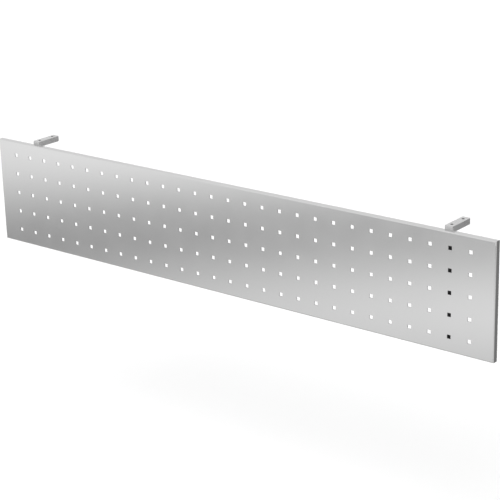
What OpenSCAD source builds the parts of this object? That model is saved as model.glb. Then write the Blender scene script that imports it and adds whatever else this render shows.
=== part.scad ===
// Perforated sheet-steel privacy screen that hangs below the rear edge of a desk top.
// The front of the panel faces -Y, +X runs along its length and +Z is up.
// The origin lies on the top face of the left arm, midway between its two screw holes.

/* [Panel] */
// Length of the folded panel
panel_l = 1470; // [700:5:1800]
// Height of the folded panel
panel_h = 270; // [150:5:420]
// Depth of the edges that are folded back
panel_d = 14; // [12:0.5:25]
// Thickness of the panel sheet
sheet_t = 1.5; // [0.8:0.1:1.6]
// Outside radius of the folds in the panel sheet
fold_r = 2; // [1.8:0.1:4]
// Width of the lips returned behind the top and bottom edges
lip_w = 12; // [8:0.5:25]
// Gap between the end of a lip and the folded end of the panel
lip_gap = 1.5; // [0.5:0.1:5]

/* [Perforation] */
// Side of a square hole
hole_side = 9; // [4:0.1:15]
// Radius of the corners of a hole
hole_corner_r = 0.6; // [0.3:0.1:1.5]
// Distance between hole centres, both ways
hole_pitch = 50; // [30:1:80]
// Least distance from the panel's ends to the nearest column of holes
end_margin = 60; // [30:1:100]
// Least distance from the panel's top and bottom to the nearest row of holes
edge_margin = 35; // [20:1:60]

/* [Brackets] */
// Distance from an end of the panel to the centre line of the nearest arm
arm_inset = 122.5; // [60:0.5:300]
// Width of the arms and of the strips that carry them
arm_w = 20; // [14:0.5:40]
// Height of an arm
arm_h = 14; // [8:0.5:25]
// Radius of the upright corners at the back end of an arm
arm_end_r = 3; // [1:0.5:6]
// Height of the arms above the panel's top edge
arm_rise = 8; // [2:0.5:15]
// Thickness of the vertical strips
strip_t = 4; // [2:0.5:8]
// Radius of the corners at the foot of a strip
strip_corner_r = 4; // [1:0.5:6]
// Height of the foot of a strip above the panel's bottom edge
strip_foot = 2; // [1:0.5:6]
// Diameter of the screw holes in the arms
screw_d = 5.5; // [3:0.1:7]
// Distance between the two screw holes of an arm
screw_spacing = 45; // [25:1:80]
// Distance from the front of a strip to the first screw hole
screw_inset = 12; // [10:0.5:25]
// Distance from the second screw hole to the back end of the arm
screw_tail = 14.5; // [7:0.5:30]

/* [Hidden] */
$fn = 48;
// Extra length of a cutting shape past the face that it cuts
over = 1;
// Left end, front face and bottom edge of the panel, and the place of the right arm
panel_x = -arm_inset;
right_x = panel_l - 2 * arm_inset;
panel_y = -(panel_d + screw_inset + screw_spacing / 2);
panel_z = -(arm_rise + panel_h);
// The strips stand on the backs of the lips, and the arms butt against the strips
strip_y = panel_y + panel_d;
strip_z = panel_z + strip_foot;
arm_y = strip_y + strip_t;
arm_l = screw_inset + screw_spacing + screw_tail - strip_t;
// As many columns and rows of holes as the margins allow, centred on the panel
hole_cols = 1 + floor((panel_l - 2 * end_margin) / hole_pitch);
hole_rows = 1 + floor((panel_h - 2 * edge_margin) / hole_pitch);
first_col_x = (panel_l - (hole_cols - 1) * hole_pitch) / 2;
first_row_z = (panel_h - (hole_rows - 1) * hole_pitch) / 2;

// Flat outline with all four corners rounded
module round_outline(w, h, r) {
    translate([r, 0]) square([w - 2 * r, h]);
    translate([0, r]) square([w, h - 2 * r]);
    for (x = [r, w - r], y = [r, h - r])
        translate([x, y]) circle(r);
}

// Flat outline whose two corners at y = 0 are rounded
module half_round_outline(w, h, r) {
    translate([r, 0]) square([w - 2 * r, h]);
    translate([0, r]) square([w, h - r]);
    for (x = [r, w - r])
        translate([x, r]) circle(r);
}

// Block with the panel's folded form, or its hollow when drawn in by inset on every side:
// the section across the length, crossed with the section across the height, which runs on past the back
module folded_block(inset) {
    r = fold_r - inset;
    intersection() {
        translate([-over, inset, inset])
            rotate([90, 0, 90])
                linear_extrude(panel_l + 2 * over)
                    round_outline(panel_d - 2 * inset, panel_h - 2 * inset, r);
        translate([inset, inset, -over])
            linear_extrude(panel_h + 2 * over)
                half_round_outline(panel_l - 2 * inset, panel_d + over, r);
    }
}

// Open back of the panel: the wide mouth between the lips, and a slot at each end of the lips
module back_opening() {
    cut_y = panel_d - sheet_t - over;
    cut_t = sheet_t + 2 * over;
    translate([sheet_t, cut_y, lip_w])
        cube([panel_l - 2 * sheet_t, cut_t, panel_h - 2 * lip_w]);
    for (x = [sheet_t, panel_l - sheet_t - lip_gap])
        translate([x, cut_y, fold_r])
            cube([lip_gap, cut_t, panel_h - 2 * fold_r]);
}

module perforation() {
    translate([0, sheet_t + over, 0])
        rotate([90, 0, 0])
            linear_extrude(sheet_t + 2 * over)
                for (col = [0 : hole_cols - 1], row = [0 : hole_rows - 1])
                    translate([
                        first_col_x + col * hole_pitch - hole_side / 2,
                        first_row_z + row * hole_pitch - hole_side / 2
                    ])
                        round_outline(hole_side, hole_side, hole_corner_r);
}

// One sheet, punched, folded back along all four edges and lipped at top and bottom
module front_panel() {
    color("silver")
        translate([panel_x, panel_y, panel_z])
            difference() {
                folded_block(0);
                folded_block(sheet_t);
                back_opening();
                perforation();
            }
}

// Flat bar behind the panel, from near its bottom edge up to the top of the arm
module strip(x) {
    color("gainsboro")
        translate([x - arm_w / 2, arm_y, strip_z])
            rotate([90, 0, 0])
                linear_extrude(strip_t)
                    half_round_outline(arm_w, -strip_z, strip_corner_r);
}

// Square-edged bar with a rounded back end and two screw holes down through it
module arm(x) {
    color("gainsboro")
        difference() {
            translate([x + arm_w / 2, arm_y + arm_l, -arm_h])
                rotate([0, 0, 180])
                    linear_extrude(arm_h)
                        half_round_outline(arm_w, arm_l, arm_end_r);
            for (y = [-1, 1] * screw_spacing / 2)
                translate([x, y, -arm_h - over])
                    cylinder(d = screw_d, h = arm_h + 2 * over);
        }
}

module left_strip() { strip(0); }
module right_strip() { strip(right_x); }
module left_arm() { arm(0); }
module right_arm() { arm(right_x); }

front_panel();
left_strip();
right_strip();
left_arm();
right_arm();
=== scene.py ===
import math

import bpy
import numpy as np
from mathutils import Matrix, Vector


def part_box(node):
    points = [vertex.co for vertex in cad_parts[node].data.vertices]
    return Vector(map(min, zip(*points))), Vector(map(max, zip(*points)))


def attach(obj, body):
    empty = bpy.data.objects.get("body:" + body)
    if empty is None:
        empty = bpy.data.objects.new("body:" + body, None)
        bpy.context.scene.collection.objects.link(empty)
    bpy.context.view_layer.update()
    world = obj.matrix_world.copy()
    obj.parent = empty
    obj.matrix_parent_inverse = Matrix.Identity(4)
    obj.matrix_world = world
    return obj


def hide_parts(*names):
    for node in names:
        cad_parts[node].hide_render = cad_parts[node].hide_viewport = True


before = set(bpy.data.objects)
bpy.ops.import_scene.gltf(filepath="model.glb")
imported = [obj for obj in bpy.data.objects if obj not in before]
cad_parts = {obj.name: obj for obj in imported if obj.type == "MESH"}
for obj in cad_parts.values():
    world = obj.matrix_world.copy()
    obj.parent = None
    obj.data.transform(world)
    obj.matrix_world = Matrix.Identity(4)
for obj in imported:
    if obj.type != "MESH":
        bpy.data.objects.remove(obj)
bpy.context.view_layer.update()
mm = 0.001
quarter = math.pi / 2
print("frame loaded:", len(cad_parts), "nodes")


# sRGB hex to the linear colour that a socket takes
def linear(hexColour):
    channels = np.array([int(hexColour[i:i + 2], 16) for i in (1, 3, 5)]) / 255
    curve = np.where(channels <= 0.04045, channels / 12.92, ((channels + 0.055) / 1.055) ** 2.4)
    return (*curve.tolist(), 1.0)


# Adds one node: settings go by attribute, inputs by socket, and an input that is a socket is linked
def addNode(tree, kind, settings={}, inputs={}):
    node = tree.nodes.new(kind)
    for name, value in settings.items():
        setattr(node, name, value)
    for socket, value in inputs.items():
        if isinstance(value, bpy.types.NodeSocket):
            tree.links.new(value, node.inputs[socket])
        else:
            node.inputs[socket].default_value = value
    return node


# A node's lowest and highest corner in millimetres
def boxOf(node):
    return [np.array(corner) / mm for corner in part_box(node)]


# Quads of a grid of points. Rows run outwards and columns run anticlockwise, so the faces look outwards
def gridFaces(rows, columns, closedRows=False, closedColumns=False):
    index = np.arange(rows * columns).reshape(rows, columns)
    if closedRows:
        index = np.vstack([index, index[:1]])
    if closedColumns:
        index = np.hstack([index, index[:, :1]])
    return np.stack([index[:-1, :-1], index[1:, :-1], index[1:, 1:], index[:-1, 1:]], -1)


# Joins patches of (points, quads, marks) into one, with the points that they share made one
def joinPatches(patches):
    allPoints, allQuads, allMarks = zip(*patches)
    starts = np.cumsum([0] + [len(points) for points in allPoints])
    points, marks = np.concatenate(allPoints), np.concatenate(allMarks)
    quads = np.concatenate([quads.reshape(-1, 4) + start for quads, start in zip(allQuads, starts)])
    rounded = np.round(points, 3) + 0.0  # adding nothing makes -0 and 0 the same
    _, first, index = np.unique(rounded, axis=0, return_index=True, return_inverse=True)
    return points[first], index.reshape(-1)[quads], marks[first]


# Writes a shape into a mesh that rides on the frame. Marks are numbers at its points, by attribute name
def makePiece(name, points, faces, marks, materials, slot, nodes=()):
    mesh = bpy.data.meshes.new(name)
    mesh.from_pydata((points * mm).tolist(), [], [list(face) for face in faces])
    for mark, values in marks.items():
        mesh.attributes.new(mark, "FLOAT", "POINT").data.foreach_set("value", np.asarray(values, np.float32))
    mesh.polygons.foreach_set("use_smooth", np.ones(len(mesh.polygons), bool))
    for material in materials:
        mesh.materials.append(material)
    piece = bpy.data.objects.new(name, mesh)
    bpy.context.scene.collection.objects.link(piece)
    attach(piece, "root")
    if nodes:
        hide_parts(*nodes)
    return piece


sharpEdge = 50  # degrees: the steps of a fold or of a rounded corner turn less than this


# Rounds every sharp edge of a piece
def roundEdges(piece, radius, steps):
    bevel = piece.modifiers.new("roundedEdges", "BEVEL")
    bevel.width = radius * mm
    bevel.segments = steps
    bevel.limit_method = "ANGLE"
    bevel.angle_limit = math.radians(sharpEdge)
    bevel.harden_normals = True


# Silver powder coat: aluminium flake in a clear satin film, sprayed on steel and baked.
# It gives the eye a soft mirror with a fine orange peel, and a lighter line on edges and folds, partly where
# the film thins and partly a painted highlight
def powderCoat(name, coat):
    material = bpy.data.materials.new(name)
    material.use_nodes = True
    tree = material.node_tree
    tree.nodes.clear()
    place = addNode(tree, "ShaderNodeTexCoord").outputs["Object"]

    # cloudy film: slow changes of tone and gloss
    cloud = addNode(tree, "ShaderNodeTexNoise", inputs={
        "Vector": place, "Scale": 1 / (coat["cloud"] * mm), "Detail": 3.0, "Roughness": 0.55}).outputs["Fac"]
    tone = addNode(tree, "ShaderNodeMix", {"data_type": "RGBA"}, {
        "Factor": cloud, "A": linear(coat["shade"]), "B": linear(coat["light"])}).outputs["Result"]
    # flake: real ones are 0.03 mm, drawn at about 1 mm so that they show at all
    flake = addNode(tree, "ShaderNodeTexVoronoi", inputs={
        "Vector": place, "Scale": 1 / (coat["flake"] * mm)}).outputs["Color"]
    grain = addNode(tree, "ShaderNodeRGBToBW", inputs={"Color": flake}).outputs["Val"]
    tone = addNode(tree, "ShaderNodeMix", {"data_type": "RGBA", "blend_type": "OVERLAY"}, {
        "Factor": coat["sparkle"], "A": tone, "B": grain}).outputs["Result"]
    # lighter tone on edges and folds, broken up by the cloud: partly thin film, partly painted highlight
    wornAndSheen = addNode(tree, "ShaderNodeAttribute", {"attribute_name": "coatWear"}).outputs["Fac"]
    wornAndSheen = addNode(tree, "ShaderNodeMath", {"operation": "MULTIPLY"}, {0: wornAndSheen, 1: cloud}).outputs["Value"]
    tone = addNode(tree, "ShaderNodeMix", {"data_type": "RGBA"}, {
        "Factor": wornAndSheen, "A": tone, "B": linear(coat["edge"])}).outputs["Result"]
    gloss = addNode(tree, "ShaderNodeMapRange", inputs={
        "Value": cloud, "From Min": 0.3, "From Max": 0.7,
        "To Min": coat["roughness"] - coat["glossChange"],
        "To Max": coat["roughness"] + coat["glossChange"]}).outputs["Result"]
    metal = coat["metallic"]
    if "shadePrimer" in coat:  # painted shade: a dull dark primer tone where a piece marks it, in bores and down the bars' fronts
        shaded = addNode(tree, "ShaderNodeAttribute", {"attribute_name": "noPowder"}).outputs["Fac"]
        tone = addNode(tree, "ShaderNodeMix", {"data_type": "RGBA"}, {
            "Factor": shaded, "A": tone, "B": linear(coat["shadePrimer"])}).outputs["Result"]
        gloss = addNode(tree, "ShaderNodeMix", inputs={
            "Factor": shaded, "A": gloss, "B": coat["shadePrimerRoughness"]}).outputs["Result"]
        metal = addNode(tree, "ShaderNodeMapRange", inputs={
            "Value": shaded, "To Min": metal, "To Max": 0.0}).outputs["Result"]
    # orange peel: the waves that the melted powder sets in
    peel = addNode(tree, "ShaderNodeTexNoise", inputs={
        "Vector": place, "Scale": 1 / (coat["peel"] * mm), "Detail": 2.0}).outputs["Fac"]
    waves = addNode(tree, "ShaderNodeBump", inputs={
        "Height": peel, "Strength": coat["peelStrength"],
        "Distance": coat["peelHeight"] * mm}).outputs["Normal"]
    shader = addNode(tree, "ShaderNodeBsdfPrincipled", inputs={
        "Base Color": tone, "Metallic": metal, "Roughness": gloss, "Normal": waves}).outputs["BSDF"]
    addNode(tree, "ShaderNodeOutputMaterial", inputs={"Surface": shader})
    return material


# full film on the outside of the panel
panelCoat = powderCoat("silverPowderCoat", dict(
    shade="#dbdbdb", light="#dedede", edge="#e8e8e8",
    cloud=60.0, flake=1.0, sparkle=0.012,
    metallic=1.0, roughness=0.10, glossChange=0.006,
    peel=2.5, peelStrength=0.08, peelHeight=0.02))
# thin film inside the folds, where less powder lands: duller, and darker as painted shade in the hollow
# behind the sheet
insideCoatShaded = powderCoat("silverPowderCoatThinShaded", dict(
    shade="#c6c6c6", light="#cecece", edge="#d6d6d6",
    cloud=40.0, flake=1.2, sparkle=0.03,
    metallic=0.4, roughness=0.40, glossChange=0.04,
    peel=2.0, peelStrength=0.15, peelHeight=0.03))
# sheared edges of the holes and the sheet: dark grey, painted shade in the hole walls
shadedEdgeCoat = powderCoat("paintedShadeOnShearedEdges", dict(
    shade="#6a6a6a", light="#747474", edge="#808080",
    cloud=12.0, flake=1.2, sparkle=0.05,
    metallic=1.0, roughness=0.42, glossChange=0.05,
    peel=1.5, peelStrength=0.2, peelHeight=0.03))
# the brackets are sprayed apart, in a more matt powder, over black primer, whose tone is also painted in as
# shade in the bores and down the bars' fronts
bracketCoat = powderCoat("silverPowderCoatMatt", dict(
    shade="#cccccc", light="#d4d4d4", edge="#e6e6e6",
    cloud=30.0, flake=1.0, sparkle=0.03,
    metallic=0.75, roughness=0.28, glossChange=0.03,
    peel=2.0, peelStrength=0.15, peelHeight=0.03,
    shadePrimer="#2b2b2b", shadePrimerRoughness=0.6))
print("finishes made")

panel = dict(
    sheet=1.5, fold=2.0, foldSteps=6,  # sheet thickness, outside radius of its folds, steps round a fold
    foldRest=0.3,  # flat kept beside a fold
    lip=12.0, lipGap=1.5,  # lips behind the top and bottom, and the slots at their ends
    hole=9.0, holeCorner=0.6, pitch=50.0, columns=28, rows=5,
    cellSteps=6,  # steps along a side of a hole and of its cell
    rim=0.15, rimSteps=2,  # rolled edge of the punched holes and of the cut edges
    rimWearAndSheen=0.3, lipWearAndSheen=1.5)  # how far the lighter edge tone, thin coat and painted highlight, reaches from such an edge


# A side along the bottom, turned by quarters into the right, top and left sides
def turnedSides(along, out):
    return np.concatenate([
        np.stack([along, -out], -1), np.stack([out, along], -1),
        np.stack([-along, out], -1), np.stack([-out, -along], -1)])


# Round-cornered square: each side goes from the middle of one corner's arc to the middle of the next,
# by the arc's end and four even steps of the straight
def holeOutline():
    half, corner = panel["hole"] / 2, panel["holeCorner"]
    arc = half - corner * (1 - math.sqrt(0.5))
    along = np.append(-arc, np.linspace(corner - half, half - corner, panel["cellSteps"] - 1))
    return turnedSides(along, np.append(arc, np.full(panel["cellSteps"] - 1, half)))


# Square cell round a hole, in as many steps, so that the two outlines pair off
def cellOutline():
    half = panel["pitch"] / 2
    along = np.linspace(-half, half, panel["cellSteps"] + 1)[:-1]
    return turnedSides(along, np.full(panel["cellSteps"], half))


# Outer skin of the sheet, without thickness: rings from each hole to its cell, then loops that run round
# the panel from the edge of the cells over the fold, back along the folded edge and over the rear fold,
# and then the two lips
def panelSkin():
    low, high = boxOf("front_panel")
    halfX, depth, halfZ = (high - low) * (0.5, 1, 0.5)
    centre = (low + high) / 2 * (1, 0, 1) + low * (0, 1, 0)
    fold, rest, pitch, steps = (panel[key] for key in ("fold", "foldRest", "pitch", "cellSteps"))

    # point = hole outline * (1 - w) + cell outline * w, repeated at every hole
    w = np.array([0, panel["rimWearAndSheen"] / (pitch / 2), 1])[:, None, None]
    ring = holeOutline() * (1 - w) + cellOutline() * w
    columnX = (np.arange(panel["columns"]) - (panel["columns"] - 1) / 2) * pitch
    rowZ = (np.arange(panel["rows"]) - (panel["rows"] - 1) / 2) * pitch
    middles = np.stack(np.meshgrid(columnX, rowZ), -1).reshape(-1, 1, 1, 2)
    flat = (ring + middles).reshape(-1, 2)
    points = np.stack([flat[:, 0], np.zeros(len(flat)), flat[:, 1]], -1)
    ringSize = len(w) * 4 * steps
    quads = gridFaces(len(w), 4 * steps, closedColumns=True).reshape(-1, 4)
    quads = quads + np.arange(len(middles))[:, None, None] * ringSize
    # lighter tone at each hole's rim: thin film and painted highlight
    wear = np.tile(np.repeat([1.0, 0, 0], 4 * steps), len(middles))
    patches = [(points, quads, wear)]

    # how far each loop lies in from the ends and from top and bottom, and how far back.
    # A loop just before and just after each fold keeps the fold's shading off the flats
    turn = np.linspace(0, quarter, panel["foldSteps"] + 1)
    rising, falling = fold * (1 - np.cos(turn)), fold * (1 - np.sin(turn))
    inX = np.hstack([halfX - columnX[-1] - pitch / 2, fold + rest, falling, 0, 0, 0 * turn])[:, None]
    inZ = np.hstack([halfZ - rowZ[-1] - pitch / 2, fold + rest, falling, 0, 0, rising])[:, None]
    back = np.hstack([0, 0, rising, fold + rest, depth - fold - rest, depth - falling])[:, None]
    # lighter tone over each fold, most at its middle: thin film and painted highlight
    bent = np.hstack([0, 0, np.sin(2 * turn), 0, 0, np.sin(2 * turn)])[:, None]
    unitX = np.tile(np.linspace(-1, 1, steps * panel["columns"] + 1), (len(inX), 1))
    lipEnd = 1 - (panel["sheet"] + panel["lipGap"]) / halfX
    unitX[1:, [1, -2]] = -lipEnd, lipEnd  # the lips stop here, so every loop past the cells has a point here
    lipX = halfX * unitX[-1, 1:-1]
    unitX, unitZ = unitX[:, :-1], np.linspace(-1, 1, steps * panel["rows"] + 1)[None, :-1]
    x = (halfX - inX) * np.hstack([unitX, 0 * inX + 1 + 0 * unitZ, -unitX, 0 * inX - 1 + 0 * unitZ])
    z = (halfZ - inZ) * np.hstack([0 * unitX - 1, 0 * inX + unitZ, 0 * unitX + 1, 0 * inX - unitZ])
    points = np.stack([x, back + 0 * x, z], -1).reshape(-1, 3)
    patches.append((points, gridFaces(*x.shape, closedColumns=True), (bent + 0 * x).ravel()))

    # each lip runs from the rear fold to its free edge
    lipZ = halfZ - np.array([fold, fold + rest, panel["lip"] - panel["lipWearAndSheen"], panel["lip"]])[:, None]
    # lighter tone at each lip's free edge: thin film and painted highlight
    lipWearAndSheen = (np.array([0, 0, 0, 1.0])[:, None] + 0 * lipX).ravel()
    for side in (-1, 1):
        lip = np.stack(np.broadcast_arrays(-side * lipX, depth, side * lipZ), -1)
        patches.append((lip.reshape(-1, 3), gridFaces(*lip.shape[:2]), lipWearAndSheen))

    points, quads, wear = joinPatches(patches)
    return points + centre, quads, {"coatWear": wear}


screen = makePiece(
    "folded_panel", *panelSkin(), [panelCoat, insideCoatShaded, shadedEdgeCoat], "panel_paint", ["front_panel"])
wall = screen.modifiers.new("sheetThickness", "SOLIDIFY")
wall.thickness = panel["sheet"] * mm
wall.offset = -1.0  # the skin is the outside, so the thickness goes in
wall.use_even_offset = True
wall.material_offset = 1  # the inside and the sheared edges have their own finish, darker as painted shade
wall.material_offset_rim = 2
roundEdges(screen, panel["rim"], panel["rimSteps"])
print("panel folded:", len(screen.data.polygons), "faces of skin")

bar = dict(
    edge=0.6, edgeSteps=3,  # rolled edges of the bars
    wear=1.5,  # how far the lighter edge tone, thin coat and painted highlight, reaches from an edge
    mouth=0.7, mouthShade=0.85,  # depth at which the painted shade in a screw hole is full, and how much of it its edge gets
    shadeReach=(2.0, 5.0),  # painted shade on the bar's front fades in between these depths below the panel's top edge, where the panel shades it
    footCorner=4.0, cornerSteps=6,
    hole=5.5, holeSpacing=45.0, endCorner=3.0, sideSteps=10)


# Flat bar: its outline, with the two corners of its foot rounded, carried through its thickness.
# Its front, which stands close behind the panel, is painted dark from just below the panel's top edge:
# painted shade
def stripBar(node):
    low, high = boxOf(node)
    half, corner = (high - low)[0] / 2, bar["footCorner"]
    midX, _, midZ = (low + high) / 2
    fadeTop, fadeFoot = boxOf("front_panel")[1][2] - np.array(bar["shadeReach"])
    turn = np.linspace(0, quarter, bar["cornerSteps"] + 1)
    rising, falling = corner * (1 - np.cos(turn)), corner * (1 - np.sin(turn))
    x = np.hstack([rising - half, half - falling, [half] * 3, [-half] * 3])
    z = np.hstack([low[2] + falling, low[2] + rising,
                   fadeFoot, fadeTop, high[2], high[2], fadeTop, fadeFoot])
    inX = x * (1 - bar["wear"] / half)
    inZ = midZ + (z - midZ) * (1 - bar["wear"] / (high[2] - midZ))
    rows = ((inX, low[1], inZ), (x, low[1], z), (x, high[1], z), (inX, high[1], inZ))
    points = np.concatenate([np.stack(np.broadcast_arrays(midX + a, y, b), -1) for a, y, b in rows])
    loop = list(range(len(x)))
    faces = gridFaces(len(rows), len(x), closedColumns=True).reshape(-1, 4).tolist()
    faces += [loop[:-5] + loop[-1:], loop[-6:-4] + loop[-2:], loop[-5:-1]]  # front, below to above the fade
    faces.append([i + 3 * len(x) for i in reversed(loop)])  # back
    wear, shaded = np.zeros((2, len(rows), len(x)))
    # lighter tone round the back edges: thin coat and painted highlight
    wear[2] = 1
    # painted shade down the middle of the front, below the panel's top edge
    shaded[0] = z <= fadeFoot
    return points, faces, {"coatWear": wear.ravel(), "noPowder": shaded.ravel()}


# Block with a bore down through it. Seen from the bore, the right, back, left and front sides lie at the
# four distances. A side's points stand at even angles, at distance * tan(angle), and the corner after it may
# be rounded. At each angle the section runs up out of the bore, over the top, down the side and back below
def boredBlock(distances, corners, height, joined):
    outline, onJoint = [], []
    for side in range(4):
        reach, after, before = distances[side], distances[(side + 1) % 4], distances[side - 1]
        angles = np.linspace(math.atan((corners[side - 1] - before) / reach),
                             math.atan((after - corners[side]) / reach), bar["sideSteps"] + 1)
        local = np.stack([np.full(len(angles), reach), reach * np.tan(angles)], -1)
        if corners[side]:
            turn = np.linspace(0, quarter, bar["cornerSteps"] + 1)[1:]
            arc = np.stack([np.cos(turn) - 1, np.sin(turn) - 1], -1)
            local = np.vstack([local, (reach, after) + corners[side] * arc])
        cos, sin = round(math.cos(side * quarter)), round(math.sin(side * quarter))
        outline.append(local[:-1] @ np.array([[cos, sin], [-sin, cos]]))
        onJoint.append(np.full(len(local) - 1, side == joined))
    outline, onJoint = np.concatenate(outline), np.concatenate(onJoint)
    away = np.linalg.norm(outline, axis=1, keepdims=True)
    radius, wear = bar["hole"] / 2, bar["wear"]
    bore, collar = outline / away * radius, outline / away * (radius + wear)
    inner = outline * (1 - wear / away)
    topRows = ((bore, -bar["mouth"]), (bore, 0), (collar, 0), (inner, 0), (outline, 0))
    rows = topRows + tuple((row, -height - z) for row, z in topRows[::-1])
    points = np.concatenate([np.hstack([row, np.full((len(row), 1), z)]) for row, z in rows])
    quads = gridFaces(len(rows), len(outline), closedRows=True, closedColumns=True)
    walls = np.ones(quads.shape[:2], bool)
    walls[len(topRows) - 1] = ~onJoint  # no wall where the two blocks of an arm join
    marks = np.zeros((len(rows), len(outline), 2))
    marks[4:6, :, 0] = 1  # lighter tone at the outer edges: thin coat and painted highlight
    marks[4:6, onJoint & np.roll(onJoint, 1), 0] = 0
    marks[[0, 9], :, 1] = 1  # painted shade inside the bore, and most of it round its mouth
    marks[[1, 8], :, 1] = bar["mouthShade"]
    return points, quads[walls], marks.reshape(-1, 2)


# Arm: two bored blocks, one round each screw hole, that meet midway between the holes
def armBar(node):
    low, high = boxOf(node)
    half, _, height = (high - low) * (0.5, 1, 1)
    midX, reach, corner = (low[0] + high[0]) / 2, bar["holeSpacing"] / 2, bar["endCorner"]
    front = boredBlock((half, reach, half, -reach - low[1]), (0, 0, 0, 0), height, joined=1)
    rear = boredBlock((half, high[1] - reach, half, reach), (corner, corner, 0, 0), height, joined=3)
    points, quads, marks = joinPatches([
        (points + (midX, y, high[2]), quads, marks)
        for (points, quads, marks), y in ((front, -reach), (rear, reach))])
    return points, quads, {"coatWear": marks[:, 0], "noPowder": marks[:, 1]}


weld = dict(
    leg=3.0, bulge=1.5,  # size of a bead along each plate, and its fullness: 2 is flat, 1 is round
    ripple=1.8, rippleDepth=0.07,  # spacing and depth of the ripples that the arc leaves
    bluntness=5, sunk=0.4,  # how abruptly its ends close, and its depth in the plates
    clear=1.0,  # room left at the lip's edge, at the fold and at the arm's sides
    span=0.995, steps=60, across=7,  # share of the length that has points, and their number each way
    sharp=60)  # degrees: a sharper turn than this shows as a crease


# Bead laid in the corner of two plates: u runs along the corner, v goes over the bead from plate to plate.
# point = corner + leg * (cos(v) ** bulge * along plate A + sin(v) ** bulge * along plate B), where the leg
# swells at each ripple and closes at both ends. The last column is the corner itself, sunk into the plates
def filletBead(start, end, alongA, alongB):
    start, end, alongA, alongB = (np.array(vector, float) for vector in (start, end, alongA, alongB))
    if np.dot(np.cross(end - start, alongB), alongA) < 0:
        start, end = end, start  # this way round the faces look outwards
    u = np.linspace(-weld["span"], weld["span"], weld["steps"])[:, None]
    v = np.linspace(0, quarter, weld["across"])[None]
    ripple = 1 + weld["rippleDepth"] * np.cos(math.pi * u * np.linalg.norm(end - start) / weld["ripple"])
    leg = weld["leg"] * ripple * np.sqrt(1 - np.abs(u) ** weld["bluntness"])
    overA, overB = leg * np.abs(np.cos(v)) ** weld["bulge"], leg * np.sin(v) ** weld["bulge"]
    corner = (start + end) / 2 + u[..., None] * (end - start) / 2
    bead = corner + overA[..., None] * alongA + overB[..., None] * alongB
    grid = np.concatenate([bead, corner - weld["sunk"] * (alongA + alongB)], 1)
    quads = gridFaces(*grid.shape[:2], closedColumns=True).reshape(-1, 4)
    ring = np.arange(grid.shape[1])
    pairs = np.stack([ring[:-1], ring[1:], ring[::-1][1:], ring[::-1][:-1]], -1)[:len(ring) // 2 - 1]
    caps = [pairs, pairs[:, ::-1] + (len(grid) - 1) * len(ring)]
    return grid.reshape(-1, 3), np.concatenate([quads, *caps]), np.zeros(grid.size // 3)


# Beads of one bracket: beside the strip on the flats of both lips, and below the arm where it meets the strip
def bracketWelds(side):
    stripLow, stripHigh = boxOf(side + "_strip")
    armLow, armHigh = boxOf(side + "_arm")
    panelLow, panelHigh = boxOf("front_panel")
    clear = weld["clear"]
    flat, tip = panel["lip"] - clear, panel["fold"] + clear
    foot = max(panelLow[2] + tip, stripLow[2] + bar["footCorner"])
    beads = []
    for edgeX, outX in ((stripLow[0], -1), (stripHigh[0], 1)):
        for z0, z1 in ((panelHigh[2] - flat, panelHigh[2] - tip), (foot, panelLow[2] + flat)):
            start, end = (edgeX, stripLow[1], z0), (edgeX, stripLow[1], z1)
            beads.append(filletBead(start, end, (outX, 0, 0), (0, 1, 0)))
    start, end = (armLow[0] + clear, armLow[1], armLow[2]), (armHigh[0] - clear, armLow[1], armLow[2])
    beads.append(filletBead(start, end, (0, 1, 0), (0, 0, -1)))
    points, quads, wear = joinPatches(beads)
    return points, quads, {"coatWear": wear}


for side in ("left", "right"):
    stripNode, armNode = side + "_strip", side + "_arm"
    strip = makePiece(side + "_flat_bar", *stripBar(stripNode), [bracketCoat], "bracket_paint", [stripNode])
    arm = makePiece(side + "_bored_arm", *armBar(armNode), [bracketCoat], "bracket_paint", [armNode])
    for piece in (strip, arm):
        roundEdges(piece, bar["edge"], bar["edgeSteps"])
    beads = makePiece(side + "_weld_beads", *bracketWelds(side), [bracketCoat], "bracket_paint")
    beads.data.set_sharp_from_angle(angle=math.radians(weld["sharp"]))
print("brackets made")

ahead = (0, -1, 0)
studio = dict(
    floor=-0.74, floorSize=150.0,  # in metres: a desk's height below the arms
    paper="#f9f9f9", paperGlow=0.04, paperRoughness=0.9,
    # brightness low in front, by the sine of the height: pale, grey, pale, a dark band, bright
    lowFront=((-0.55, 0.66), (-0.43, 0.45), (-0.36, 0.89), (-0.315, 0.42), (-0.26, 1.20), (-0.10, 0.92)),
    # a bearing, two cosines of the angle from it, and the levels there
    slant=(ahead, (0.60, 0.83), (0.78, 1.18)),  # the front grows brighter from the sides
    middle=(ahead, (0.86, 0.96), (1, 0.62)),  # but not straight ahead
    behind=((0.49, 0.81, -0.32), (0.89, 0.965), (0.75, 0.22)),  # with a dark patch to the right
    below=((-0.60, -0.10, -0.79), (0.93, 0.98), (1, 0.40)),  # a darker patch to the left
    frontShare=(ahead, (0, 0.45), (0, 1)),  # where the front takes over from behind
    lampShare=((0, -0.50, 0.87), (0.90, 0.96), (0, 1)), lampLevel=3.2,  # a large lamp above and ahead
    above=((0.10, 0.20), (1.0, 0.82)),  # two sines of the height, and the levels there
    horizon=(-0.12, 0.0))  # between these the upper part takes over

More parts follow.
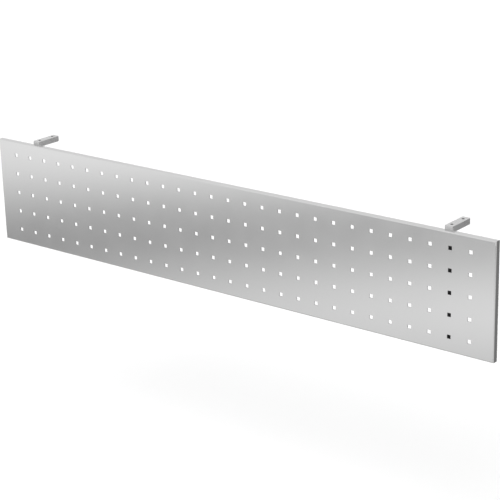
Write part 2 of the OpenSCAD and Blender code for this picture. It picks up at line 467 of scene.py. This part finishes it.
half = studio["floorSize"] / 2
corners = [(x, y, studio["floor"]) for x, y in ((-half, -half), (half, -half), (half, half), (-half, half))]
floorMesh = bpy.data.meshes.new("studio_floor")
floorMesh.from_pydata(corners, [], [(0, 1, 2, 3)])
paper = bpy.data.materials.new("whiteStudioPaper")
paper.use_nodes = True
paper.node_tree.nodes.clear()
sheen = addNode(paper.node_tree, "ShaderNodeBsdfPrincipled", inputs={
    "Base Color": linear(studio["paper"]), "Roughness": studio["paperRoughness"],
    "Emission Color": linear(studio["paper"]), "Emission Strength": studio["paperGlow"]}).outputs["BSDF"]
addNode(paper.node_tree, "ShaderNodeOutputMaterial", inputs={"Surface": sheen})
floorMesh.materials.append(paper)
floor = bpy.data.objects.new("studio_floor", floorMesh)
bpy.context.scene.collection.objects.link(floor)
floor.visible_glossy = floor.visible_diffuse = False  # the screen mirrors and takes only the light around it

world = bpy.data.worlds.new("softStudio")
bpy.context.scene.world = world
world.use_nodes = True
tree = world.node_tree
tree.nodes.clear()
direction = addNode(tree, "ShaderNodeTexCoord").outputs["Generated"]
height = addNode(tree, "ShaderNodeSeparateXYZ", inputs={"Vector": direction}).outputs["Z"]


# Brightness that changes from one level to another as a direction comes round to a bearing
def byBearing(bearing, cosines, levels, change="SMOOTHSTEP"):
    dot = addNode(tree, "ShaderNodeVectorMath", {"operation": "DOT_PRODUCT"}, {0: direction, 1: bearing})
    return addNode(tree, "ShaderNodeMapRange", {"interpolation_type": change}, {
        "Value": dot.outputs["Value"], "From Min": cosines[0], "From Max": cosines[1],
        "To Min": levels[0], "To Max": levels[1]}).outputs["Result"]


heights, levels = zip(*studio["lowFront"])
rise = addNode(tree, "ShaderNodeMapRange", inputs={
    "Value": height, "From Min": heights[0], "From Max": heights[-1]}).outputs["Result"]
ramp = addNode(tree, "ShaderNodeValToRGB", inputs={"Fac": rise})
ramp.color_ramp.interpolation = "EASE"
while len(ramp.color_ramp.elements) < len(heights):
    ramp.color_ramp.elements.new(0.5)
for element, z, level in zip(ramp.color_ramp.elements, heights, levels):
    element.position = (z - heights[0]) / (heights[-1] - heights[0])
    element.color = (level, level, level, 1.0)
lowFront = addNode(tree, "ShaderNodeMath", {"operation": "MULTIPLY"}, {
    0: ramp.outputs["Color"], 1: byBearing(*studio["slant"], "LINEAR")}).outputs["Value"]
lowFront = addNode(tree, "ShaderNodeMath", {"operation": "MULTIPLY"}, {
    0: lowFront, 1: byBearing(*studio["middle"])}).outputs["Value"]
low = addNode(tree, "ShaderNodeMix", inputs={
    "Factor": byBearing(*studio["frontShare"]),
    "A": byBearing(*studio["behind"]), "B": lowFront}).outputs["Result"]
low = addNode(tree, "ShaderNodeMath", {"operation": "MULTIPLY"}, {
    0: low, 1: byBearing(*studio["below"])}).outputs["Value"]
heights, levels = studio["above"]
above = addNode(tree, "ShaderNodeMapRange", {"interpolation_type": "SMOOTHSTEP"}, {
    "Value": height, "From Min": heights[0], "From Max": heights[1],
    "To Min": levels[0], "To Max": levels[1]}).outputs["Result"]
above = addNode(tree, "ShaderNodeMix", inputs={
    "Factor": byBearing(*studio["lampShare"]), "A": above, "B": studio["lampLevel"]}).outputs["Result"]
isAbove = addNode(tree, "ShaderNodeMapRange", {"interpolation_type": "SMOOTHSTEP"}, {
    "Value": height, "From Min": studio["horizon"][0], "From Max": studio["horizon"][1]}).outputs["Result"]
light = addNode(tree, "ShaderNodeMix", inputs={"Factor": isAbove, "A": low, "B": above}).outputs["Result"]
background = addNode(tree, "ShaderNodeBackground", inputs={"Color": (1, 1, 1, 1), "Strength": light})
addNode(tree, "ShaderNodeOutputWorld", inputs={"Surface": background.outputs["Background"]})

view = dict(
    spot=(2.9170, -2.7921, 1.0653), lens=116.36,
    heading=38.94, tilt=-19.04, roll=-1.55)  # turned left from +Y, tipped down, leaned over
camera = bpy.data.objects.new("camera", bpy.data.cameras.new("camera"))
bpy.context.scene.collection.objects.link(camera)
camera.data.sensor_width = 36.0
camera.data.lens = view["lens"]
camera.data.clip_end = 100.0
camera.matrix_world = (Matrix.Translation(view["spot"])
                       @ Matrix.Rotation(math.radians(view["heading"]), 4, "Z")
                       @ Matrix.Rotation(math.radians(90 + view["tilt"]), 4, "X")
                       @ Matrix.Rotation(math.radians(view["roll"]), 4, "Z"))
bpy.context.scene.camera = camera
bpy.context.scene.view_settings.view_transform = "Standard"
print("studio set")
